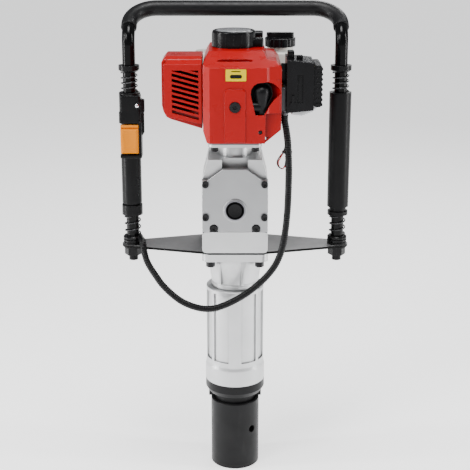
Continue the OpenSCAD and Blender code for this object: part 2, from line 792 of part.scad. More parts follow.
module spring_left_low() {
    color(steel) translate([-leg_x, 0, 0]) coil(low_spring_z, low_spring_end, spring_coils_low, 13.2, 1.5);
}

module spring_right_top() {
    color(steel) translate([leg_x, 0, 0]) coil(top_spring_z, top_spring_end, spring_coils_top, 13.2, 1.5);
}

module spring_right_low() {
    color(steel) translate([leg_x, 0, 0]) coil(low_spring_z, low_spring_end, spring_coils_low, 13.2, 1.5);
}

// Bore of both grips, which float on the legs
module leg_bore() {
    translate([0, 0, grip_low - 1]) cylinder(r = tube_r + 0.08, h = top_spring_z - grip_low + 2);
}

// Switch housing, trigger frame, rubber grip and split clamp on the throttle side
module throttle_grip() {
    color(black) translate([-leg_x, 0, 0]) difference() {
        union() {
            translate([0, 0, 636]) cylinder(r = 18.2, h = 54);
            z_block([-16, -21, 640], [19.6, 5, 686], 6);
            z_block([-17.7, -21, 639], [19.6, 5, 658], 5);
            translate([18.5, -8, 657.6]) cylinder(r = 7.5, h = 21.6);
            translate([18, -8, 622]) cylinder(r = 7, h = 36);
            translate([18, -8, 614]) cylinder(r1 = 2.5, r2 = 7, h = 8);
            translate([0, 0, 586]) cylinder(r = 15, h = 50);
            block([16.2, -22, 580], [20.5, 4, 642]);
            block([10, -12, 580], [20.5, 4, 642]);
            block([-16.5, -23, 579], [20.5, 4, 585]);
            translate([0, 0, 495]) cylinder(r = 17.2, h = 85);
            translate([0, 0, grip_low]) cylinder(r = 18, h = 19);
            translate([0, 0, 490]) cylinder(r = 14, h = 8);
        }
        leg_bore();
        block([-1, -20, grip_low - 1], [1, -10, 493]);
        translate([14, 0, 670]) y_rod(3.6, -22, 9);
        block([-18, -24, 585.5], [15.9, -12.2, 637.6]);
        translate([0, -17.5, 633]) x_rod(2.05, 14, 5.9);
    }
}

// Trigger plate on a pin near its top
module throttle_trigger() {
    color("#f07a12") translate([-leg_x, 0, 0]) {
        block([-15.2, -27, 588], [15.4, -19.5, 630]);
        translate([0, -17.5, 633]) x_rod(4, -15.2, 30.6);
        translate([0, -17.5, 633]) x_rod(2, 15, 4.6);
        block([-15.2, -21.5, 628], [15.4, -17.5, 633]);
    }
}

module stop_button() {
    color("#b9bcc0") translate([14 - leg_x, 0, 670]) y_rod(3.5, -24, 7.2);
}

module right_grip() {
    color(rubber) translate([leg_x, 0, 0]) difference() {
        union() {
            translate([0, 0, 489]) cylinder(r1 = grip_r, r2 = grip_r + 0.4, h = 201);
            translate([0, 0, 481]) cylinder(r = 14.5, h = 9);
            translate([0, 0, grip_low]) cylinder(r = 17.6, h = 7);
        }
        leg_bore();
    }
}

// Conduit of the throttle cable, from the gland on the left leg to the carburettor
module throttle_conduit() {
    color(black) swept(conduit_route, conduit_r, 10, [0, 1, 0]);
}

module stop_wires() {
    color("#7a1515") swept(wire_route, 1.6, 8, [0, 1, 0]);
}

post_sleeve();
anvil();
sleeve_ring();
nose_collar();
nose_rubbers();
cylinder_tube();
ram();
drive_piston();
hammer_rod();
percussion_neck();
handle_plate();
frame_bolts();
gearbox_housing();
gearbox_cover();
cover_screws();
crank_plug();
shaft_bearings();
drive_crank();
bevel_gear();
bevel_pinion();
clutch_housing();
clutch_drum();
clutch_shoes();
crankcase();
engine_crankshaft();
engine_conrod();
engine_piston();
engine_cylinder();
spark_plug();
plug_boot();
flywheel();
engine_shroud();
shroud_bolt();
muffler();
muffler_cover();
carburettor();
throttle_valve();
air_box();
filter_element();
filter_cover();
choke_lever();
fuel_tank();
fuel_cap();
starter_housing();
starter_pulley();
starter_rope();
pull_handle();
handlebar();
bar_foam();
leg_fittings();
spring_left_top();
spring_left_low();
spring_right_top();
spring_right_low();
throttle_grip();
throttle_trigger();
stop_button();
right_grip();
throttle_conduit();
stop_wires();
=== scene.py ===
# Looks of the petrol post driver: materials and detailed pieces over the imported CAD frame.
# Metres, +Z up, -Y is the front; outlines and routes are lists in millimetres.
# Places come from the frame's own boxes and from the named sizes beside each piece.
import json
import math

import bmesh
import bpy
from mathutils import Matrix, Vector


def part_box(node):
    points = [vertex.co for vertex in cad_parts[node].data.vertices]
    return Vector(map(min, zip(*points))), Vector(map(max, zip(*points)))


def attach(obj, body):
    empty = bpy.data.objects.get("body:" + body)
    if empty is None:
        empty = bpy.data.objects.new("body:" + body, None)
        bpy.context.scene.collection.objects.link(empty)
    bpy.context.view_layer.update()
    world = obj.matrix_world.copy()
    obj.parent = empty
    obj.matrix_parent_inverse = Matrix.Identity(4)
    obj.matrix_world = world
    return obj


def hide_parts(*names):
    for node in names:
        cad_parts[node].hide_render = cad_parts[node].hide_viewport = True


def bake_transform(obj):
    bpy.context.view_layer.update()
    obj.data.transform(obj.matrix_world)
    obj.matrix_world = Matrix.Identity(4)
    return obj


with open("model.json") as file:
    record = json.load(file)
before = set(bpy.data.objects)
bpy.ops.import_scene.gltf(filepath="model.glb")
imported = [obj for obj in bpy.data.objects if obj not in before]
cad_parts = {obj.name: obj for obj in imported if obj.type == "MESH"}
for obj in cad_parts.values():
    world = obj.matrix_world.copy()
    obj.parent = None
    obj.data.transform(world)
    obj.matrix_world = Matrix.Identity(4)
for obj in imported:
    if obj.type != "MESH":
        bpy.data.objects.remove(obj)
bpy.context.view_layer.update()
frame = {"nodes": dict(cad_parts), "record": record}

MM = 0.001
TO_BACK = Matrix.Rotation(math.radians(-90), 4, "X")
TO_RIGHT = Matrix.Rotation(math.radians(90), 4, "Y")

# ---------- camera, floor and lights ----------

CAMERA_BACK = 1.914
CAMERA_UP = 1.027
CAMERA_PITCH = math.radians(16)
CAMERA_LENS = 87.0
CAMERA_SHIFT = -0.05
FLOOR_GLOW = 1.1
FLOOR_HALF = 12
SKY_STRENGTH = 0.28
AIM_HEIGHT = 0.55


def make_camera():
    data = bpy.data.cameras.new("camera")
    data.lens = CAMERA_LENS
    data.sensor_width = 36
    data.shift_y = CAMERA_SHIFT
    camera = bpy.data.objects.new("camera", data)
    camera.location = (0, -CAMERA_BACK, CAMERA_UP)
    camera.rotation_euler = (math.pi / 2 - CAMERA_PITCH, 0, 0)
    bpy.context.collection.objects.link(camera)
    bpy.context.scene.camera = camera


def area_light(name, place, aim, size, power, colour=(1, 1, 1)):
    data = bpy.data.lights.new(name, "AREA")
    data.shape = "RECTANGLE"
    data.size, data.size_y = size
    data.energy = power
    data.color = colour
    light = bpy.data.objects.new(name, data)
    light.location = place
    light.rotation_euler = (Vector(aim) - Vector(place)).to_track_quat("-Z", "Y").to_euler()
    bpy.context.collection.objects.link(light)


def make_stage():
    mesh = bpy.data.meshes.new("floor")
    corners = [(x * FLOOR_HALF, y * FLOOR_HALF, 0) for x, y in ((-1, -1), (1, -1), (1, 1), (-1, 1))]
    mesh.from_pydata(corners, [], [(0, 1, 2, 3)])
    floor = bpy.data.objects.new("floor", mesh)
    bpy.context.collection.objects.link(floor)
    floor.data.materials.append(finish("floor", (0.86, 0.86, 0.86), rough=0.75, tint=0.004, grain_depth=0.0))
    shader = floor.data.materials[0].node_tree.nodes["Principled BSDF"]
    shader.inputs["Emission Color"].default_value = (1, 1, 1, 1)
    shader.inputs["Emission Strength"].default_value = FLOOR_GLOW
    world = bpy.context.scene.world or bpy.data.worlds.new("world")
    bpy.context.scene.world = world
    world.use_nodes = True
    sky = world.node_tree.nodes["Background"]
    sky.inputs["Color"].default_value = (0.95, 0.97, 1.0, 1)
    sky.inputs["Strength"].default_value = SKY_STRENGTH
    middle = (0, 0, AIM_HEIGHT)
    area_light("key", (-1.7, -1.7, 2.2), middle, (0.9, 0.9), 42)
    area_light("left_strip", (-1.7, -0.3, 0.8), middle, (0.16, 1.6), 30)
    area_light("right_strip", (1.7, -0.3, 0.9), middle, (0.16, 1.6), 26)
    area_light("back_rim", (0.6, 1.9, 1.9), middle, (1.0, 0.8), 26)
    area_light("overhead", (0, -0.5, 2.6), (0, -0.1, 0.5), (0.9, 0.9), 54)


# ---------- materials ----------

def finish(name, colour, metallic=0.0, rough=0.5, rough_spread=0.08, tint=0.07, blotch=22.0, grain=900.0,
           grain_depth=0.12, cells=0.0, cell_depth=0.0, lines=None, coat=0.0, clear=0.0, scratch=0.0,
           edge=0.7, edge_wear_and_highlight=0.0, shine=0.5, painted_crevice_shade=0.0):
    """A procedural material: blotchy colour and gloss, grain, lighter edges for wear and painted highlight,
    painted shade in hollows, cells or lines.
    """
    mat = bpy.data.materials.new(name)
    mat.use_nodes = True
    nodes, links = mat.node_tree.nodes, mat.node_tree.links
    shader = nodes["Principled BSDF"]
    shader.inputs["Metallic"].default_value = metallic
    shader.inputs["Specular IOR Level"].default_value = shine
    shader.inputs["Coat Weight"].default_value = coat
    shader.inputs["Coat Roughness"].default_value = 0.12
    shader.inputs["Transmission Weight"].default_value = clear
    place = nodes.new("ShaderNodeTexCoord").outputs["Object"]

    def noise(scale, detail=4.0, stretch=None):
        source = place
        if stretch:
            mapping = nodes.new("ShaderNodeMapping")
            mapping.inputs["Scale"].default_value = stretch
            links.new(place, mapping.inputs["Vector"])
            source = mapping.outputs["Vector"]
        texture = nodes.new("ShaderNodeTexNoise")
        texture.inputs["Scale"].default_value = scale
        texture.inputs["Detail"].default_value = detail
        links.new(source, texture.inputs["Vector"])
        return texture.outputs["Fac"]

    def spread(value, low, high, start=0.3, stop=0.7):
        node = nodes.new("ShaderNodeMapRange")
        for key, number in (("From Min", start), ("From Max", stop), ("To Min", low), ("To Max", high)):
            node.inputs[key].default_value = number
        links.new(value, node.inputs["Value"])
        return node.outputs["Result"]

    def mixed(factor, first, second):
        node = nodes.new("ShaderNodeMix")
        node.data_type = "RGBA"
        links.new(factor, node.inputs["Factor"])
        for socket, value in ((node.inputs["A"], first), (node.inputs["B"], second)):
            if isinstance(value, tuple):
                socket.default_value = value
            else:
                links.new(value, socket)
        return node.outputs["Result"]

    dark = tuple(c * (1 - tint) for c in colour) + (1,)
    light = tuple(min(1, c * (1 + tint) + tint * 0.01) for c in colour) + (1,)
    shade = mixed(spread(noise(blotch), 0, 1), dark, light)
    if scratch:
        worn = tuple(min(1, c * 1.4 + 0.09) for c in colour) + (1,)
        marks = spread(noise(60, 6, (1, 1, 0.12)), 0, scratch, 0.62, 0.74)
        shade = mixed(marks, shade, worn)
    rounded = nodes.new("ShaderNodeBevel")
    rounded.samples = 6
    rounded.inputs["Radius"].default_value = edge * MM
    # Lighter edges where the rounded normal turns from the face: edge wear, and with a wide edge radius also
    # a painted highlight line.
    if edge_wear_and_highlight:
        flatness = nodes.new("ShaderNodeVectorMath")
        flatness.operation = "DOT_PRODUCT"
        links.new(rounded.outputs["Normal"], flatness.inputs[0])
        links.new(nodes.new("ShaderNodeNewGeometry").outputs["Normal"], flatness.inputs[1])
        rubbed_and_highlit = tuple(min(1, c * 1.5 + 0.05) for c in colour) + (1,)
        shade = mixed(spread(flatness.outputs["Value"], edge_wear_and_highlight, 0, 0.8, 0.97), shade, rubbed_and_highlit)
    # Painted shade: ambient occlusion darkens hollows and creases toward a deep copy of the colour, standing
    # in for shade.
    if painted_crevice_shade:
        corners = nodes.new("ShaderNodeAmbientOcclusion")
        corners.samples = 8
        corners.inputs["Distance"].default_value = 14 * MM
        painted_shade_colour = tuple(c * 0.16 for c in colour) + (1,)
        shade = mixed(spread(corners.outputs["AO"], painted_crevice_shade, 0, 0.15, 0.85), shade, painted_shade_colour)
    links.new(shade, shader.inputs["Base Color"])
    links.new(spread(noise(blotch * 3.1, 5), rough - rough_spread, rough + rough_spread),
              shader.inputs["Roughness"])

    normal = rounded.outputs["Normal"]

    def bump(height, depth, distance=0.0004):
        nonlocal normal
        node = nodes.new("ShaderNodeBump")
        node.inputs["Strength"].default_value = depth
        node.inputs["Distance"].default_value = distance
        links.new(height, node.inputs["Height"])
        links.new(normal, node.inputs["Normal"])
        normal = node.outputs["Normal"]

    if grain_depth:
        bump(noise(grain, 3), grain_depth)
    if cells:
        texture = nodes.new("ShaderNodeTexVoronoi")
        texture.inputs["Scale"].default_value = cells
        links.new(place, texture.inputs["Vector"])
        bump(texture.outputs["Distance"], cell_depth)
    if lines:
        axis, count, depth = lines
        wave = nodes.new("ShaderNodeTexWave")
        wave.bands_direction = axis
        wave.inputs["Scale"].default_value = count
        wave.inputs["Distortion"].default_value = 0.6
        wave.inputs["Detail"].default_value = 2
        links.new(place, wave.inputs["Vector"])
        bump(wave.outputs["Fac"], depth)
    links.new(normal, shader.inputs["Normal"])
    return mat


# In this table the ambient-occlusion darkening of hollows is painted shade; the lighter edges are wear, and
# on machined_aluminium also a painted highlight.
FINISH_TABLE = {
    "blackened_steel": dict(colour=(0.010, 0.010, 0.0105), metallic=0.1, rough=0.38, rough_spread=0.05,
                            tint=0.12, blotch=30, lines=("Z", 900, 0.03), scratch=0.05, edge_wear_and_highlight=0.3,
                            shine=0.13),
    "machined_steel": dict(colour=(0.45, 0.46, 0.48), metallic=1.0, rough=0.28, rough_spread=0.06,
                           lines=("Z", 1200, 0.12)),
    "gear_steel": dict(colour=(0.24, 0.24, 0.26), metallic=1.0, rough=0.35, rough_spread=0.08,
                       tint=0.15),
    "spring_steel": dict(colour=(0.030, 0.030, 0.032), metallic=0.5, rough=0.24, rough_spread=0.08,
                         tint=0.2, blotch=60, shine=0.4),
    "collar_steel": dict(colour=(0.004, 0.004, 0.0045), metallic=0.0, rough=0.34, rough_spread=0.07,
                         tint=0.1, edge_wear_and_highlight=0.25, shine=0.15),
    "black_rubber": dict(colour=(0.003, 0.003, 0.0035), metallic=0.0, rough=0.38, rough_spread=0.07,
                         cells=1500, cell_depth=0.06, shine=0.14),
    "cast_aluminium": dict(colour=(0.56, 0.565, 0.57), metallic=0.85, rough=0.38, rough_spread=0.05,
                           tint=0.05, blotch=16, grain=1400, grain_depth=0.22, cells=1100,
                           cell_depth=0.16, edge_wear_and_highlight=0.35, painted_crevice_shade=0.95),
    # The wide edge radius and full edge lightening paint a highlight line along the gearbox cover's
    # chamfers, over some wear.
    "machined_aluminium": dict(colour=(0.34, 0.343, 0.35), metallic=0.85, rough=0.36, rough_spread=0.05,
                               tint=0.04, blotch=12, grain=1800, grain_depth=0.14, cells=1500,
                               cell_depth=0.10, edge=2.4, edge_wear_and_highlight=1.0, painted_crevice_shade=0.8),
    # A darker copy of cast_aluminium for the clutch housing: painted shadow of the shroud above it.
    "clutch_painted_shadow_aluminium": dict(colour=(0.13, 0.131, 0.135), metallic=0.7, rough=0.42, rough_spread=0.05,
                             tint=0.06, blotch=16, grain=1400, grain_depth=0.22, cells=1100,
                             cell_depth=0.16, edge_wear_and_highlight=0.35, painted_crevice_shade=0.95),
    # The handle plate's lighter grey faces are a painted reflection on a black coat.
    "plate_steel": dict(colour=(0.12, 0.12, 0.122), metallic=0.2, rough=0.46, rough_spread=0.06,
                        tint=0.06, blotch=12, scratch=0.05),
    "black_bolts": dict(colour=(0.006, 0.006, 0.007), metallic=0.2, rough=0.32, rough_spread=0.1,
                        tint=0.2, blotch=120, edge_wear_and_highlight=0.3, shine=0.25),
    "black_plastic": dict(colour=(0.003, 0.003, 0.0036), metallic=0.0, rough=0.24, rough_spread=0.05,
                          tint=0.1, blotch=40, grain=1500, grain_depth=0.03, edge_wear_and_highlight=0.06, shine=0.16),
    # The red mouldings get painted shade in their hollows too.
    "red_plastic": dict(colour=(0.30, 0.0004, 0.0008), metallic=0.0, rough=0.30, rough_spread=0.05,
                        tint=0.05, blotch=14, grain=700, grain_depth=0.02, coat=0.12, shine=0.13,
                        edge=1.4, painted_crevice_shade=0.85),
    "plug_ceramic": dict(colour=(0.8, 0.79, 0.74), metallic=0.1, rough=0.25, rough_spread=0.06),
    "muffler_steel": dict(colour=(0.05, 0.048, 0.045), metallic=0.6, rough=0.5, rough_spread=0.1,
                          tint=0.2, blotch=30),
    "zinc_casting": dict(colour=(0.08, 0.08, 0.085), metallic=0.8, rough=0.38, rough_spread=0.1,
                         tint=0.1, blotch=60, grain=1200, grain_depth=0.2, edge_wear_and_highlight=0.5),
    "brass": dict(colour=(0.50, 0.33, 0.12), metallic=1.0, rough=0.3, rough_spread=0.08),
    "filter_foam": dict(colour=(0.35, 0.26, 0.08), metallic=0.0, rough=0.9, rough_spread=0.05,
                        cells=700, cell_depth=0.9),
    "tank_plastic": dict(colour=(0.74, 0.73, 0.67), metallic=0.0, rough=0.38, rough_spread=0.05,
                         tint=0.03, blotch=30, grain=900, grain_depth=0.05, clear=0.15),
    "rope": dict(colour=(0.45, 0.44, 0.38), metallic=0.0, rough=0.85, rough_spread=0.05,
                 lines=("DIAGONAL", 260, 0.8)),
    "black_paint": dict(colour=(0.0015, 0.0015, 0.0017), metallic=0.0, rough=0.19, rough_spread=0.03,
                        tint=0.1, blotch=30, grain=260, grain_depth=0.02, shine=0.14),
    "foam": dict(colour=(0.004, 0.004, 0.0045), metallic=0.0, rough=0.42, rough_spread=0.06, tint=0.12,
                 blotch=40, grain=900, grain_depth=0.2, cells=1100, cell_depth=0.15, shine=0.2),
    "black_fittings": dict(colour=(0.003, 0.003, 0.0034), metallic=0.1, rough=0.28, rough_spread=0.08,
                           tint=0.15, blotch=60, edge_wear_and_highlight=0.2, shine=0.18),
    "grip_plastic": dict(colour=(0.0028, 0.0028, 0.0032), metallic=0.0, rough=0.32, rough_spread=0.06,
                         tint=0.1, blotch=40, grain=1600, grain_depth=0.15, edge_wear_and_highlight=0.06, shine=0.13),
    "orange_plastic": dict(colour=(0.62, 0.19, 0.0), metallic=0.0, rough=0.36, rough_spread=0.05,
                           tint=0.04, blotch=40, grain=1200, grain_depth=0.05, shine=0.12),
    "button_metal": dict(colour=(0.75, 0.75, 0.77), metallic=1.0, rough=0.16, rough_spread=0.05),
    "grip_rubber": dict(colour=(0.0028, 0.0028, 0.0032), metallic=0.0, rough=0.36, rough_spread=0.05,
                        tint=0.1, blotch=30, grain=1500, grain_depth=0.12, edge_wear_and_highlight=0.05, shine=0.13),
    "conduit_plastic": dict(colour=(0.003, 0.003, 0.0034), metallic=0.0, rough=0.30, rough_spread=0.08,
                            tint=0.12, blotch=60, shine=0.16),
    "wire_plastic": dict(colour=(0.42, 0.008, 0.006), metallic=0.0, rough=0.35, rough_spread=0.06,
                         shine=0.2),
    "wire_black": dict(colour=(0.003, 0.003, 0.003), metallic=0.0, rough=0.35, rough_spread=0.06,
                       shine=0.16),
    "plate_edge": dict(colour=(0.002, 0.002, 0.002), metallic=0.0, rough=0.5, rough_spread=0.08,
                       tint=0.2, blotch=60, shine=0.1),
    "clear_plastic": dict(colour=(0.62, 0.63, 0.65), metallic=0.0, rough=0.22, rough_spread=0.05,
                          tint=0.04, blotch=40, grain=900, grain_depth=0.03, clear=0.3),
    "disc_aluminium": dict(colour=(0.60, 0.61, 0.63), metallic=0.9, rough=0.3, rough_spread=0.05,
                           tint=0.05, blotch=30),
    "yellow_label": dict(colour=(0.62, 0.46, 0.0), metallic=0.0, rough=0.4, rough_spread=0.05,
                         tint=0.02, blotch=60, grain=1500, grain_depth=0.02, shine=0.12),
}


def make_finishes():
    return {name: finish(name, **values) for name, values in FINISH_TABLE.items()}


# ---------- mesh helpers ----------

def new_object(name, mesh, material):
    piece = bpy.data.objects.new(name, mesh)
    bpy.context.collection.objects.link(piece)
    mesh.materials.clear()
    mesh.materials.append(material)
    return piece


def from_bmesh(name, bm, material, smooth=True):
    mesh = bpy.data.meshes.new(name)
    bmesh.ops.recalc_face_normals(bm, faces=bm.faces)
    bm.to_mesh(mesh)
    bm.free()
    piece = new_object(name, mesh, material)
    for face in mesh.polygons:
        face.use_smooth = smooth
    return piece


def bevelled(piece, width, segments=3, angle=35):
    modifier = piece.modifiers.new("bevel", "BEVEL")
    modifier.width = width
    modifier.segments = segments
    modifier.limit_method = "ANGLE"
    modifier.angle_limit = math.radians(angle)
    modifier.use_clamp_overlap = True
    modifier.harden_normals = False
    return piece


def settle(piece):
    """Applies the piece's modifiers to its mesh."""
    bpy.context.view_layer.update()
    evaluated = piece.evaluated_get(bpy.context.evaluated_depsgraph_get())
    mesh = bpy.data.meshes.new_from_object(evaluated)
    piece.modifiers.clear()
    piece.data = mesh
    return piece


def shaded(piece, angle=32):
    """Smooth shading with creases only where faces meet sharply."""
    for face in piece.data.polygons:
        face.use_smooth = True
    piece.data.set_sharp_from_angle(angle=math.radians(angle))
    weighted = piece.modifiers.new("weighted", "WEIGHTED_NORMAL")
    weighted.keep_sharp = True
    weighted.weight = 80
    return settle(piece)


def carve(piece, tools, operation="DIFFERENCE"):
    """Cuts tools out of a piece, or joins or intersects them, and throws the tools away."""
    for tool in tools:
        modifier = piece.modifiers.new("carve", "BOOLEAN")
        modifier.operation = operation
        modifier.solver = "EXACT"
        modifier.object = tool
    settle(piece)
    for tool in tools:
        bpy.data.objects.remove(tool)
    return piece


def node_copy(node, material):
    """A new piece with a CAD node's shape."""
    bm = bmesh.new()
    bm.from_mesh(frame["nodes"][node].data)
    bmesh.ops.remove_doubles(bm, verts=bm.verts, dist=2e-6)
    bmesh.ops.dissolve_limit(bm, angle_limit=math.radians(0.5), verts=bm.verts, edges=bm.edges)
    return from_bmesh(node + "_body", bm, material)


def belongs(piece, body):
    """Gives a piece the body that it rides on."""
    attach(piece, body)


def stands_for(piece, node, body):
    """Puts a piece in the place of a CAD node."""
    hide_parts(node)
    belongs(piece, body)


def moulded(node, body, slot, voxel=0.9, rounds=4):
    """A node's shape as a moulding: remeshed finely and relaxed, so every edge is round."""
    piece = node_copy(node, FINISH[slot])
    remesh = piece.modifiers.new("remesh", "REMESH")
    remesh.mode = "VOXEL"
    remesh.voxel_size = voxel * MM
    relax = piece.modifiers.new("relax", "SMOOTH")
    relax.factor = 0.5
    relax.iterations = rounds
    settle(piece)
    shaded(piece, 60)
    stands_for(piece, node, body)


def prism(name, points, axis, low, high, material):
    """An outline in the two other axes, in millimetres, made solid along one axis."""
    others = [i for i in range(3) if i != axis]
    bm = bmesh.new()
    ends = []
    for level in (low, high):
        ring = []
        for a, b in points:
            place = [0, 0, 0]
            place[others[0]], place[others[1]], place[axis] = a * MM, b * MM, level * MM
            ring.append(bm.verts.new(place))
        ends.append(ring)
    count = len(points)
    bm.faces.new(ends[0])
    bm.faces.new(list(reversed(ends[1])))
    for k in range(count):
        bm.faces.new((ends[0][k], ends[1][k], ends[1][(k + 1) % count], ends[0][(k + 1) % count]))
    return from_bmesh(name, bm, material, smooth=False)


def box_tool(low, high, turn_y=0.0, centre=(0, 0, 0)):
    """A box to cut with, in millimetres, turned about Y and then moved."""
    piece = prism("tool", [(low[0], low[2]), (high[0], low[2]), (high[0], high[2]), (low[0], high[2])], 1,
                  low[1], high[1], FINISH["black_plastic"])
    piece.data.transform(Matrix.Rotation(math.radians(turn_y), 4, "Y"))
    piece.data.transform(Matrix.Translation(Vector(centre) * MM))
    return piece


def round_tool(x, z, r, y0, y1, sides=40):
    """A cylinder along Y to cut with, in millimetres."""
    turns = (2 * math.pi * k / sides for k in range(sides))
    ring = [(x + r * math.cos(t), z + r * math.sin(t)) for t in turns]
    return prism("tool", ring, 1, y0, y1, FINISH["black_plastic"])


def scaled_copy(piece, wall):
    """The same form with every side moved inward by the wall, in millimetres."""
    twin = piece.copy()
    twin.data = piece.data.copy()
    bpy.context.collection.objects.link(twin)
    corners = [v.co for v in twin.data.vertices]
    low = Vector([min(c[i] for c in corners) for i in range(3)])
    high = Vector([max(c[i] for c in corners) for i in range(3)])
    middle = (low + high) / 2
    factors = [1 - 2 * wall * MM / (high[i] - low[i]) for i in range(3)]
    for vertex in twin.data.vertices:
        vertex.co = Vector([middle[i] + (vertex.co[i] - middle[i]) * factors[i] for i in range(3)])
    return twin


def smooth_route(points, per_span):
    """Points on one smooth curve through the given ones."""
    spread = [points[0]] + list(points) + [points[-1]]
    route = []
    for i in range(len(points) - 1):
        a, b, c, d = (Vector(p) for p in spread[i:i + 4])
        for k in range(per_span):
            t = k / per_span
            route.append(0.5 * (2 * b + (c - a) * t + (2 * a - 5 * b + 4 * c - d) * t ** 2
                                + (3 * b - a - 3 * c + d) * t ** 3))
    route.append(Vector(points[-1]))
    return route


def resampled(route, step):
    """The same line with its points an even step apart."""
    total = sum((b - a).length for a, b in zip(route, route[1:]))
    count = max(2, round(total / step))
    gap, out, carried = total / count, [route[0]], 0.0
    for a, b in zip(route, route[1:]):
        length = (b - a).length
        while carried + length >= gap * len(out) - 1e-9 and len(out) < count:
            out.append(a.lerp(b, (gap * len(out) - carried) / length))
        carried += length
    return out + [route[-1]]


def tube(name, route, radii, material, sides=12, side=(0, 1, 0), capped=True):
    """A tube along a route; radii is one number or one for each point."""
    bm = bmesh.new()
    rings = []
    last = len(route) - 1
    for i, point in enumerate(route):
        ahead = (route[min(i + 1, last)] - route[max(i - 1, 0)]).normalized()
        u = ahead.cross(Vector(side)).normalized()
        w = ahead.cross(u)
        r = radii[i] if isinstance(radii, list) else radii
        rings.append([bm.verts.new(point + r * (math.cos(t) * u + math.sin(t) * w))
                      for t in (2 * math.pi * k / sides for k in range(sides))])
    for lower, upper in zip(rings, rings[1:]):
        for k in range(sides):
            bm.faces.new((lower[k], lower[(k + 1) % sides], upper[(k + 1) % sides], upper[k]))
    if capped:
        bm.faces.new(rings[0])
        bm.faces.new(list(reversed(rings[-1])))
    return from_bmesh(name, bm, material)


def lathe(name, profile, material, place=(0, 0, 0), turn=None, steps=48):
    """A turned piece from points of radius and height; turn is a rotation before it is placed."""
    bm = bmesh.new()
    rings = []
    for r, h in profile:
        if r < 1e-7:
            rings.append([bm.verts.new((0, 0, h))])
        else:
            rings.append([bm.verts.new((r * math.cos(t), r * math.sin(t), h))
                          for t in (2 * math.pi * k / steps for k in range(steps))])
    for lower, upper in zip(rings, rings[1:]):
        for k in range(steps):
            corners = [lower[k % len(lower)], lower[(k + 1) % len(lower)],
                       upper[(k + 1) % len(upper)], upper[k % len(upper)]]
            unique = list(dict.fromkeys(corners))
            if len(unique) > 2:
                bm.faces.new(unique)
    matrix = Matrix.Translation(Vector(place)) @ (turn or Matrix.Identity(4))
    bmesh.ops.transform(bm, matrix=matrix, verts=bm.verts)
    return shaded(settle(bevelled(from_bmesh(name, bm, material), 0.4 * MM, 2, 40)), 40)


ARC_POINTS, ARC_STEP = 7, 15


def slab(name, low, high, radius, depth_axis, material, edge=0.5 * MM):
    """A box with four rounded edges along one axis and softened rims."""
    low, high = Vector(low), Vector(high)
    flat = [i for i in range(3) if i != depth_axis]
    bm = bmesh.new()
    corners = []
    for sx, sy, start in ((1, 1, 0), (0, 1, 90), (0, 0, 180), (1, 0, 270)):
        cx = (high if sx else low)[flat[0]] + (-radius if sx else radius)
        cy = (high if sy else low)[flat[1]] + (-radius if sy else radius)
        for k in range(ARC_POINTS):
            t = math.radians(start + ARC_STEP * k)
            point = [0, 0, 0]
            point[flat[0]], point[flat[1]] = cx + radius * math.cos(t), cy + radius * math.sin(t)
            point[depth_axis] = low[depth_axis]
            corners.append(bm.verts.new(point))
    base = bm.faces.new(corners)
    pushed = bmesh.ops.extrude_face_region(bm, geom=[base])
    moved = [v for v in pushed["geom"] if isinstance(v, bmesh.types.BMVert)]
    shift = Vector((0, 0, 0))
    shift[depth_axis] = high[depth_axis] - low[depth_axis]
    bmesh.ops.translate(bm, vec=shift, verts=moved)
    return shaded(settle(bevelled(from_bmesh(name, bm, material), edge, 2, 40)), 40)


# ---------- cords ----------

CONDUIT_ROUTE = [
    (-164, -13, 431), (-161.5, -21.5, 430.5), (-159.5, -30, 425), (-157.5, -34.5, 414), (-153, -40, 400),
    (-145, -46, 387), (-136, -51, 375), (-127, -57, 364), (-111, -63, 349), (-93, -67, 336),
    (-74, -70, 328), (-55, -72, 324), (-36, -73, 325), (-18, -73, 331), (2, -73, 341), (22, -73, 354),
    (40, -73, 369), (56, -74, 386), (69, -75, 405), (78, -76, 427), (83, -76, 450), (86, -77, 475),
    (88, -78, 500), (89, -78, 525), (89.5, -78, 550), (89.5, -78, 575), (88.5, -78, 600),
    (87, -77, 622), (84.5, -74.5, 640), (82, -72, 654), (82, -72, 664)]
CONDUIT_R = 6.2 * MM
CORRUGATION = 3.8 * MM
WIRE_R, TWIST_R, TWIST_STEP = 1.0 * MM, 1.1 * MM, 0.16
SLEEVE_POINTS = 22
TIE_X, TIE_Y, TIE_R = 0.0865, -0.0735, 9.4 * MM
WIRE_ROUTE = [(86, -67.4, 628), (86, -68.2, 615), (84, -68.6, 604), (77, -69, 595), (71.5, -70, 585),
              (73, -70.5, 577), (79, -70.5, 573), (84, -70, 579), (86, -69.4, 588)]


def in_metres(points):
    return [Vector(p) * MM for p in points]


def make_conduit():
    """Corrugated conduit, held at the bush and at the carburettor."""
    line = resampled(smooth_route(in_metres(CONDUIT_ROUTE), 12), CORRUGATION / 4)
    ripple = [CONDUIT_R * (0.93 + 0.07 * math.cos(math.pi / 2 * i)) for i in range(len(line))]
    piece = tube("throttle_conduit_corrugated", line, ripple, FINISH["conduit_plastic"], 14)
    stands_for(piece, "throttle_conduit", "frame")


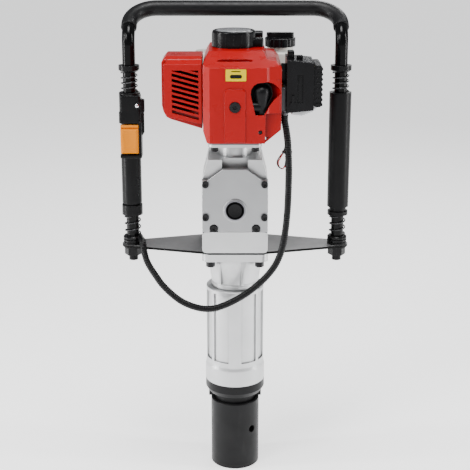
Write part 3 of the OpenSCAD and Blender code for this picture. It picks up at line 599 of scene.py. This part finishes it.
def make_wires():
    """The stop switch's two wires in a loop, their sleeve above it, and the tie that holds both."""
    line = smooth_route(in_metres(WIRE_ROUTE), 10)
    for name, finish_name, phase in (("stop_wire_red", "wire_plastic", 0.0),
                                     ("stop_wire_black", "wire_black", math.pi)):
        strand = []
        for i, point in enumerate(line):
            turn = phase + i * TWIST_STEP
            strand.append(point + TWIST_R * Vector((math.cos(turn), 0.5 * math.sin(turn), math.sin(turn))))
        piece = tube(name, strand, WIRE_R, FINISH[finish_name], 10)
        stands_for(piece, "stop_wires", "frame")
    upper = [Vector((0.0835, -0.0625, 0.662)), Vector((0.0845, -0.0635, 0.648))] + line[:SLEEVE_POINTS]
    ripple = [(3.4 + 0.3 * (i % 2)) * MM for i in range(len(upper))]
    sleeve = tube("wire_sleeve", upper, ripple, FINISH["conduit_plastic"], 14)
    tie_line = [Vector((TIE_X, TIE_Y, 0.6005)), Vector((TIE_X, TIE_Y, 0.6040))]
    tie = tube("conduit_tie", tie_line, [TIE_R, TIE_R], FINISH["black_fittings"], 20, (0, 1, 0))
    for vertex in tie.data.vertices:
        vertex.co.x = TIE_X + (vertex.co.x - TIE_X) * 0.92
    bevelled(tie, 0.6 * MM, 2, 40)
    for piece in (sleeve, tie):
        belongs(piece, "frame")


# ---------- engine ----------

SHROUD_WALL = 3
STARTER_HOLE_R = 34
SHROUD_FRONT = [(-46, 625), (50, 625), (75, 646), (75, 747), (67, 756), (52, 758), (47, 768), (-43, 768),
                (-49, 758), (-52, 750), (-52, 643)]
SHROUD_SIDE = [(-114, 625), (-114, 748), (-60, 768), (50, 768), (50, 625)]
SHROUD_TOP = [(-52, 50), (-52, -102), (-41, -114), (51, -114), (55, -110), (75, -106), (75, 50)]
BOLT_PAD = [(-17, 627), (17, 627), (17, 710), (13, 714), (-13, 714), (-17, 710)]
BACKING_PLATE = [(40.5, 634), (56, 634), (70, 646), (72.3, 650), (72.3, 676), (40.5, 676)]
SCOOP = [(28, 706), (33, 717), (42, 724), (52, 725.5), (62, 722), (70, 716), (74.5, 710), (74.5, 706),
         (64, 697), (56, 687), (49, 675), (40, 680)]
SCOOP_SLOPE = [(20, -124), (84, -124), (84, -108), (75, -106.6), (57, -94), (20, -94)]
SLOT = [(-29, -93.5), (29, -93.5), (27, -88), (18, -85.5), (-18, -85.5), (-27, -88)]
BOOT_HOLE = [(25, 706), (26, 713), (30, 719.5), (36, 723.5), (44, 724.5), (51, 722), (56, 717.5),
             (58.5, 711), (59, 704), (56.5, 697), (51.5, 688), (48.5, 678), (47.5, 671.5), (33, 671.5),
             (31, 680), (28, 692)]


def make_shroud():
    """Engine shroud with its bolt pad, slot, scooped boot opening and set-back lower corner."""
    red = FINISH["red_plastic"]
    piece = prism("engine_shroud_moulding", SHROUD_FRONT, 1, -114, 50, red)
    carve(piece, [prism("side", SHROUD_SIDE, 0, -60, 90, red), prism("top", SHROUD_TOP, 2, 600, 780, red)],
          "INTERSECT")
    settle(bevelled(piece, 3.6 * MM, 5, 18))
    hollow = scaled_copy(piece, SHROUD_WALL)
    pad = prism("pad", BOLT_PAD, 1, -116.5, -113, red)
    settle(bevelled(pad, 1.2 * MM, 2, 40))
    carve(piece, [pad], "UNION")
    carve(piece, [hollow])
    carve(piece, [box_tool((40.5, -108, 662), (72.5, -90, 728)),
                  prism("corner", BACKING_PLATE, 1, -108, -97, red)], "UNION")
    scoop = prism("scoop", SCOOP, 1, -122, -90, red)
    carve(scoop, [prism("slope", SCOOP_SLOPE, 2, 650, 740, red)], "INTERSECT")
    boot_hole = prism("boot_hole", BOOT_HOLE, 1, -122, -88, red)
    step = prism("step", [(48.5, 600), (90, 600), (90, 673.8), (49.5, 673.8)], 1, -125, -103.5, red)
    starter_hole = [(STARTER_HOLE_R * math.cos(t), STARTER_HOLE_R * math.sin(t))
                    for t in (2 * math.pi * k / 56 for k in range(56))]
    carve(piece, [scoop, boot_hole, step, round_tool(0, 685, 9, -120, -100),
                  round_tool(41, 643.5, 3.4, -120, -108), prism("slot", SLOT, 2, 735, 775, red),
                  box_tool((-44, -45.8, 610), (48, 60, 645)), box_tool((-49, -100, 610), (60, 60, 630)),
                  box_tool((-49, 40, 630), (72, 60, 752)), box_tool((-60, -88, 668), (-40, -30, 712)),
                  box_tool((60, -84, 664), (90, -16, 740)),
                  prism("starter_hole", starter_hole, 2, 758, 790, red)])
    settle(bevelled(piece, 0.8 * MM, 2, 50))
    stands_for(shaded(piece, 36), "engine_shroud", "frame")
    # Painted shade: a near-black well behind the boot opening darkens the inside of the hole, standing in
    # for its shade as well as its black inner walls.
    dark = FINISH["plate_edge"]
    shade_well = prism("boot_shade_well", BOOT_HOLE, 1, -109, -97, dark)
    middle = Vector((42, 0, 698)) * MM
    for vertex in shade_well.data.vertices:
        vertex.co.x = middle.x + (vertex.co.x - middle.x) * 1.09
        vertex.co.z = middle.z + (vertex.co.z - middle.z) * 1.06
    carve(shade_well, [prism("shade_well_room", BOOT_HOLE, 1, -110, -98.2, dark)])
    screw_profile = [(0, 0), (2.6 * MM, 0), (3.1 * MM, 0.4 * MM), (3.1 * MM, 5 * MM), (0, 5 * MM)]
    screw = lathe("corner_screw", screw_profile, FINISH["black_bolts"], (0.041, -0.1128, 0.6435), TO_BACK,
                  24)
    belongs(shade_well, "frame")
    belongs(screw, "frame")


COVER_WALL = 2.5
SHELL_FRONT = [(-119.5, 683), (-117, 672), (-112, 663), (-104, 659), (-53.5, 643.5), (-53.5, 762),
               (-112, 762), (-119.5, 753)]
SHELL_SIDE = [(-85, 640), (-85, 757), (-77, 762), (-18, 762), (-18, 640)]
PANEL_FRONT = [(-115, 673), (-108.5, 665.5), (-53.5, 653.5), (-53.5, 757), (-108.5, 757), (-115, 750.5)]
PANEL_SIDE = [(-97, 640), (-97, 751), (-84, 757), (-80, 757), (-80, 640)]
LOUVRES = 10
LOUVRE_PITCH = 8.55
LOUVRE_LEFT, LOUVRE_RIGHT, LOUVRE_TOP, LOUVRE_HALF = -102, -59, 751.7, 2.4
LOUVRE_DROP = 43 * math.tan(math.radians(15.4))


def make_muffler_cover():
    """Louvred front panel on a slightly larger rear shell."""
    red = FINISH["red_plastic"]
    shell = prism("muffler_cover_moulding", SHELL_FRONT, 1, -85, -18, red)
    carve(shell, [prism("side", SHELL_SIDE, 0, -130, -50, red)], "INTERSECT")
    settle(bevelled(shell, 3.4 * MM, 4, 12))
    panel = prism("panel", PANEL_FRONT, 1, -97, -80, red)
    carve(panel, [prism("side", PANEL_SIDE, 0, -130, -50, red)], "INTERSECT")
    settle(bevelled(panel, 3.6 * MM, 5, 14))
    panel_room = scaled_copy(panel, COVER_WALL)
    panel_room.data.transform(Matrix.Translation((3 * MM, 4 * MM, 0)))
    tools = [scaled_copy(shell, COVER_WALL), panel_room, box_tool((-114, -30, 680), (-56.5, -10, 757))]
    carve(shell, [panel], "UNION")
    for i in range(LOUVRES):
        upper = LOUVRE_TOP - i * LOUVRE_PITCH + LOUVRE_HALF
        lower = LOUVRE_TOP - i * LOUVRE_PITCH - LOUVRE_HALF
        outline = [(LOUVRE_LEFT, upper), (LOUVRE_RIGHT, upper - LOUVRE_DROP),
                   (LOUVRE_RIGHT, lower - LOUVRE_DROP), (LOUVRE_LEFT, lower)]
        slit = prism("slit", outline, 1, -100, -92, red)
        clip = box_tool((LOUVRE_LEFT, -101, 655), (LOUVRE_RIGHT, -91, 741.5))
        tools.append(carve(slit, [clip], "INTERSECT"))
    for y in (-62, -47):
        tools.append(box_tool((-104, y, 755), (-80, y + 4, 770)))
    carve(shell, tools)
    settle(bevelled(shell, 0.6 * MM, 2, 50))
    stands_for(shaded(shell, 36), "muffler_cover", "frame")


def make_plug_boot():
    """Rubber boot: a turned upright body that narrows downward, with its lead-out toward the plug."""
    profile = [(0, -36), (5.6, -36), (6.6, -34), (7.4, -28), (9.6, -14), (12.2, -2), (12.6, 3), (11.4, 7.5),
               (7.5, 11), (0, 12)]
    body = lathe("plug_boot_cap", [(r * MM, h * MM) for r, h in profile], FINISH["black_rubber"],
                 (0.043, -0.104, 0.706))
    arm_profile = [(0, 0), (7.6, 0), (8, 1), (8, 36), (6.5, 40), (0, 40)]
    arm = lathe("plug_boot_arm", [(r * MM, h * MM) for r, h in arm_profile], FINISH["black_rubber"],
                (0.003, -0.1055, 0.684), TO_RIGHT)
    for piece in (body, arm):
        stands_for(piece, "plug_boot", "frame")


def make_yellow_plate():
    """A plain yellow plate with two generic bars in place of the maker's sign."""
    plate = slab("front_plate", (-0.015, -0.1146, 0.7270), (0.018, -0.1138, 0.7460), 1.5 * MM, 1,
                 FINISH["yellow_label"], 0.2 * MM)
    bars = [slab("front_plate_bar_top", (-0.006, -0.1149, 0.7420), (0.009, -0.1145, 0.7435), 0.5 * MM, 1,
                 FINISH["wire_black"], 0.1 * MM),
            slab("front_plate_bar_low", (-0.008, -0.1149, 0.7315), (0.011, -0.1145, 0.7375), 2.4 * MM, 1,
                 FINISH["wire_black"], 0.1 * MM)]
    for piece in [plate] + bars:
        belongs(piece, "frame")


STARTER_R = 37 * MM
STARTER_X = -2 * MM
STARTER_RIBS = 18


def make_starter():
    """Starter cover with a rounded rim, rope port and a bright centre disc."""
    low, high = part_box("starter_housing")
    height = high.z - low.z
    r = STARTER_R
    profile = [(r - 5 * MM, 0), (r, 0), (r, height - 4 * MM), (r - 1.2 * MM, height - 1.2 * MM),
               (r - 3 * MM, height), (r - 6 * MM, height), (r - 6.6 * MM, height - 0.8 * MM),
               (0, height - 0.8 * MM)]
    cover = lathe("starter_cover", profile, FINISH["black_plastic"], (STARTER_X, 0, low.z), steps=72)
    carve(cover, [round_tool(21, 781, 3, 0, 60)])
    shaded(cover, 35)
    stands_for(cover, "starter_housing", "frame")
    disc_profile = [(0, 0.4 * MM), (r - 8 * MM, 0.4 * MM), (r - 7.4 * MM, 0), (r - 7.4 * MM, -0.9 * MM),
                    (0, -0.9 * MM)]
    disc = lathe("starter_disc", disc_profile, FINISH["disc_aluminium"],
                 (STARTER_X, 0, high.z - 0.4 * MM), steps=72)
    port = slab("starter_rope_port", (22 * MM, -14 * MM, low.z), (48 * MM, 12 * MM, 781.5 * MM), 5 * MM, 2,
                FINISH["black_plastic"], 1.6 * MM)
    stands_for(port, "starter_housing", "frame")
    belongs(disc, "frame")
    for k in range(STARTER_RIBS):
        turn = 2 * math.pi * (k + 0.5) / STARTER_RIBS
        beside_port = turn < 0.5 or turn > 5.8
        if beside_port:
            continue
        rib = slab("starter_rib_%02d" % k, (r - 0.6 * MM, -0.9 * MM, low.z + 3 * MM),
                   (r + 0.45 * MM, 0.9 * MM, high.z - 5 * MM), 0.3 * MM, 2, FINISH["black_plastic"],
                   0.1 * MM)
        rib.data.transform(Matrix.Translation((STARTER_X, 0, 0)) @ Matrix.Rotation(turn, 4, "Z"))
        belongs(rib, "frame")


# ---------- handlebar, grips and springs ----------

LEG_X = 179.5 * MM
BEND_R, BEND_Z, TILT = 30 * MM, 770 * MM, math.radians(60)
BAR_RUN, CORNER_R, FOAM_R, TUBE_R = 12 * MM, 45 * MM, 13.5 * MM, 11 * MM
RIM_STEPS = (0.02, 0.5, 1.4)
SPRING_WIRE_R, SPRING_R = 1.35 * MM, 13.2 * MM
SPRING_TURNS = {"top": 3.5, "low": 2.75}


def bar_route():
    """Centre line of the foam-covered top bar, from the left bend to the right one."""
    back = Vector((0, math.sin(TILT), math.cos(TILT)))
    foot = Vector((LEG_X, BEND_R * (1 - math.cos(TILT)), BEND_Z + BEND_R * math.sin(TILT)))
    half = [foot + back * (s * MM) for s in (1, 4, 8)]
    for k in range(17):
        turn = math.radians(90 * k / 16)
        half.append(foot + back * (BAR_RUN + CORNER_R * math.sin(turn))
                    + Vector((-CORNER_R * (1 - math.cos(turn)), 0, 0)))
    half += [Vector((x * MM, half[-1].y, half[-1].z)) for x in range(120, 0, -12)]
    other = [Vector((-p.x, p.y, p.z)) for p in half]
    return other + list(reversed(half))


def make_foam():
    """Foam sleeve on the top bar, with rounded rims at both ends."""
    route = bar_route()
    first, last = route[0], route[-1]
    ahead_first, ahead_last = (route[1] - first).normalized(), (route[-2] - last).normalized()
    ends_in = [first] + [first + ahead_first * step * MM for step in RIM_STEPS]
    ends_out = [last + ahead_last * step * MM for step in reversed(RIM_STEPS)] + [last]
    rim = [TUBE_R + 0.1 * MM, FOAM_R - 0.9 * MM, FOAM_R - 0.3 * MM, FOAM_R]
    radii = rim + [FOAM_R] * (len(route) - 2) + rim[::-1]
    piece = tube("bar_foam_sleeve", ends_in + route[1:-1] + ends_out, radii, FINISH["foam"], 32,
                 (0, 1, 0.02), capped=False)
    stands_for(shaded(piece, 50), "bar_foam", "frame")


def make_springs():
    """Each spring is one smooth wire between the frame and its grip."""
    for node, body in (("spring_left_top", "left_grip"), ("spring_left_low", "left_grip"),
                       ("spring_right_top", "right_grip"), ("spring_right_low", "right_grip")):
        low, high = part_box(node)
        centre = (low.x + high.x) / 2
        turns = SPRING_TURNS[node[-3:]]
        rise = high.z - low.z - 2 * SPRING_WIRE_R
        steps = int(turns * 48)
        route = []
        for i in range(steps + 1):
            turn = 2 * math.pi * turns * i / steps
            route.append(Vector((centre + SPRING_R * math.cos(turn), SPRING_R * math.sin(turn),
                                 low.z + SPRING_WIRE_R + rise * i / steps)))
        piece = tube(node + "_wire", route, SPRING_WIRE_R, FINISH["spring_steel"], 14, (0, 0, 1))
        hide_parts(node)
        held, free = (centre, 0, low.z), (centre, 0, high.z)
        if node.endswith("top"):
            held, free = free, held
        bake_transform(piece)


TRIGGER_TOP, TRIGGER_BACK = 630 * MM, -19.5 * MM


def make_trigger():
    """Orange thumb plate with a shallow hollow and three low ridges near its foot."""
    low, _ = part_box("throttle_trigger")
    left, right = low.x, -LEG_X + 15.4 * MM
    rows, columns = 28, 12
    bm = bmesh.new()
    z0, z1 = low.z, TRIGGER_TOP
    grid = []
    for i in range(rows + 1):
        line = []
        for k in range(columns + 1):
            u, v = k / columns, i / rows
            hollow = 1.6 * MM * math.sin(math.pi * u) * math.sin(math.pi * v) ** 0.7
            ridged = (0.1 < v < 0.42) * (0.15 < u < 0.85)
            ridge = 0.7 * MM * max(0, math.cos((v * rows - 4) * math.pi / 2)) * ridged
            edge = 2.2 * MM * (max(0, abs(u - 0.5) * 2 - 0.86) / 0.14) ** 2
            tip = 2.0 * MM * (max(0, abs(v - 0.5) * 2 - 0.93) / 0.07) ** 2
            line.append(bm.verts.new((left + (right - left) * u, low.y + hollow - ridge + edge + tip,
                                      z0 + (z1 - z0) * v)))
        grid.append(line)
    back = [[bm.verts.new((left + (right - left) * k / columns, TRIGGER_BACK, z0 + (z1 - z0) * i / rows))
             for k in range(columns + 1)] for i in range(rows + 1)]
    for i in range(rows):
        for k in range(columns):
            bm.faces.new((grid[i][k], grid[i][k + 1], grid[i + 1][k + 1], grid[i + 1][k]))
            bm.faces.new((back[i][k], back[i + 1][k], back[i + 1][k + 1], back[i][k + 1]))
    for i in range(rows):
        bm.faces.new((grid[i][0], grid[i + 1][0], back[i + 1][0], back[i][0]))
        bm.faces.new((grid[i][columns], back[i][columns], back[i + 1][columns], grid[i + 1][columns]))
    for k in range(columns):
        bm.faces.new((grid[0][k], back[0][k], back[0][k + 1], grid[0][k + 1]))
        bm.faces.new((grid[rows][k], grid[rows][k + 1], back[rows][k + 1], back[rows][k]))
    plate = shaded(from_bmesh("trigger_plate", bm, FINISH["orange_plastic"]), 50)
    barrel = lathe("trigger_barrel", [(0, 0), (3.6 * MM, 0), (4 * MM, 0.4 * MM), (4 * MM, 30.2 * MM),
                                      (3.6 * MM, 30.6 * MM), (0, 30.6 * MM)], FINISH["orange_plastic"],
                   (left, -17.5 * MM, 633 * MM), TO_RIGHT)
    for piece in (plate, barrel):
        stands_for(piece, "throttle_trigger", "trigger")


def make_button():
    """Crowned stop button in a black ring."""
    low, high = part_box("stop_button")
    r = (high.x - low.x) / 2
    x, z = (low.x + high.x) / 2, (low.z + high.z) / 2
    profile = [(0, 0), (r * 0.55, 0.15 * MM), (r * 0.9, 0.8 * MM), (r, 1.7 * MM), (r, 7 * MM), (0, 7 * MM)]
    button = lathe("stop_button_cap", profile, FINISH["button_metal"], (x, low.y, z), TO_BACK)
    stands_for(button, "stop_button", "button")
    ring_profile = [(r + 0.2 * MM, 0), (r + 1.9 * MM, 0), (r + 2.2 * MM, 0.8 * MM),
                    (r + 2.2 * MM, 2.6 * MM), (r + 0.2 * MM, 2.6 * MM)]
    ring = lathe("stop_button_ring", ring_profile, FINISH["black_fittings"], (x, -23.2 * MM, z), TO_BACK)
    belongs(ring, "left_grip")


# ---------- gearbox, cylinder and plate ----------

def make_plate():
    """The handle plate: a lighter grey on its flat faces as a painted reflection of the studio, black on its
    cut edges.
    """
    piece = node_copy("handle_plate", FINISH["plate_steel"])
    piece.data.materials.append(FINISH["plate_edge"])
    # Steep faces take the black edge colour; the flat faces keep the lighter grey, a painted reflection on
    # the black coat.
    for face in piece.data.polygons:
        if abs(face.normal.z) < 0.5:
            face.material_index = 1
    shaded(piece, 30)
    stands_for(piece, "handle_plate", "frame")


# Node, record slot, finish and edge radius in millimetres.
CASTINGS = (("gearbox_housing", "cast_aluminium", "cast_aluminium", 1.2),
            ("gearbox_cover", "machined_aluminium", "machined_aluminium", 1.6),
            ("percussion_neck", "cast_aluminium", "cast_aluminium", 1.4),
            ("cylinder_tube", "cast_aluminium", "cast_aluminium", 1.0),
            ("nose_collar", "collar_steel", "collar_steel", 0.8),
            ("air_box", "black_plastic", "black_plastic", 1.0),
            ("filter_cover", "black_plastic", "black_plastic", 0.6),
            # The clutch housing takes the darker copy of the casting finish: painted shadow.
            ("clutch_housing", "cast_aluminium", "clutch_painted_shadow_aluminium", 1.0))


def make_castings():
    """Cast and moulded parts of the CAD shape with rounded edges."""
    for node, slot_name, finish_name, width in CASTINGS:
        piece = node_copy(node, FINISH[finish_name])
        settle(bevelled(piece, width * MM, 3, 30))
        stands_for(shaded(piece, 34), node, "frame")


def make_air_box_details():
    """Bright glossy underside of the air box, with its small vent, its catch and its raised latch."""
    outline = [(91, 667), (110, 664.5), (127, 672), (139, 682), (139, 692), (92, 684)]
    under = prism("air_box_underside", outline, 1, -86, -30, FINISH["clear_plastic"])
    settle(bevelled(under, 3 * MM, 4, 20))
    shaded(under, 40)
    vent = slab("air_box_vent", (0.0860, -0.064, 0.750), (0.0970, -0.046, 0.768), 1.5 * MM, 1,
                FINISH["black_plastic"], 0.8 * MM)
    carve(vent, [box_tool((84, -66, 757 + 3.2 * k), (99, -62.6, 758.6 + 3.2 * k)) for k in range(3)])
    catch = slab("air_box_catch", (0.1010, -0.062, 0.752), (0.1110, -0.050, 0.7605), 1.2 * MM, 1,
                 FINISH["black_plastic"], 0.8 * MM)
    latch = slab("air_box_latch", (0.1025, -0.0895, 0.6900), (0.1090, -0.0870, 0.7310), 1.5 * MM, 1,
                 FINISH["black_fittings"], 0.7 * MM)
    for piece in (under, shaded(vent, 40), catch, latch):
        belongs(piece, "frame")


def make_plug_ring():
    """Stepped black face over the crank's plug, in a machined ring."""
    low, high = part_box("crank_plug")
    place = ((low.x + high.x) / 2, low.y, (low.z + high.z) / 2)
    r = (high.x - low.x) / 2
    face_profile = [(0, 0.5 * MM), (r * 0.62, 0.5 * MM), (r * 0.68, 0), (r * 0.92, 0),
                    (r, 0.8 * MM), (r, 3 * MM), (0, 3 * MM)]
    ring_profile = [(r * 1.04, 0), (r * 1.14, 0), (r * 1.17, 0.4 * MM), (r * 1.17, 2 * MM),
                    (r * 1.04, 2 * MM)]
    for name, profile, finish_name in (("crank_plug_face", face_profile, "black_plastic"),
                                       ("crank_plug_ring", ring_profile, "gear_steel")):
        piece = lathe(name, profile, FINISH[finish_name], place, TO_BACK, 64)
        belongs(piece, "frame")


def dress_cad():
    """Every CAD node gets its own slot's detailed material."""
    for part in frame["record"]["subparts"]:
        node = frame["nodes"][part["node"]]
        if not node.material_slots:
            node.data.materials.append(None)
        for place in node.material_slots:
            place.material = FINISH[part["material_slot"]]


make_camera()
FINISH = make_finishes()
make_stage()
make_conduit()
make_wires()
dress_cad()
make_shroud()
make_muffler_cover()
make_plug_boot()
make_yellow_plate()
make_starter()
make_foam()
make_springs()
make_trigger()
make_button()
make_plate()
make_castings()
make_air_box_details()
make_plug_ring()
moulded("throttle_grip", "left_grip", "grip_plastic")
moulded("fuel_tank", "frame", "tank_plastic", 1.6, 6)
moulded("fuel_cap", "cap", "black_plastic", 0.7)
moulded("pull_handle", "puller", "black_plastic", 0.8)
moulded("carburettor", "frame", "zinc_casting", 0.9)
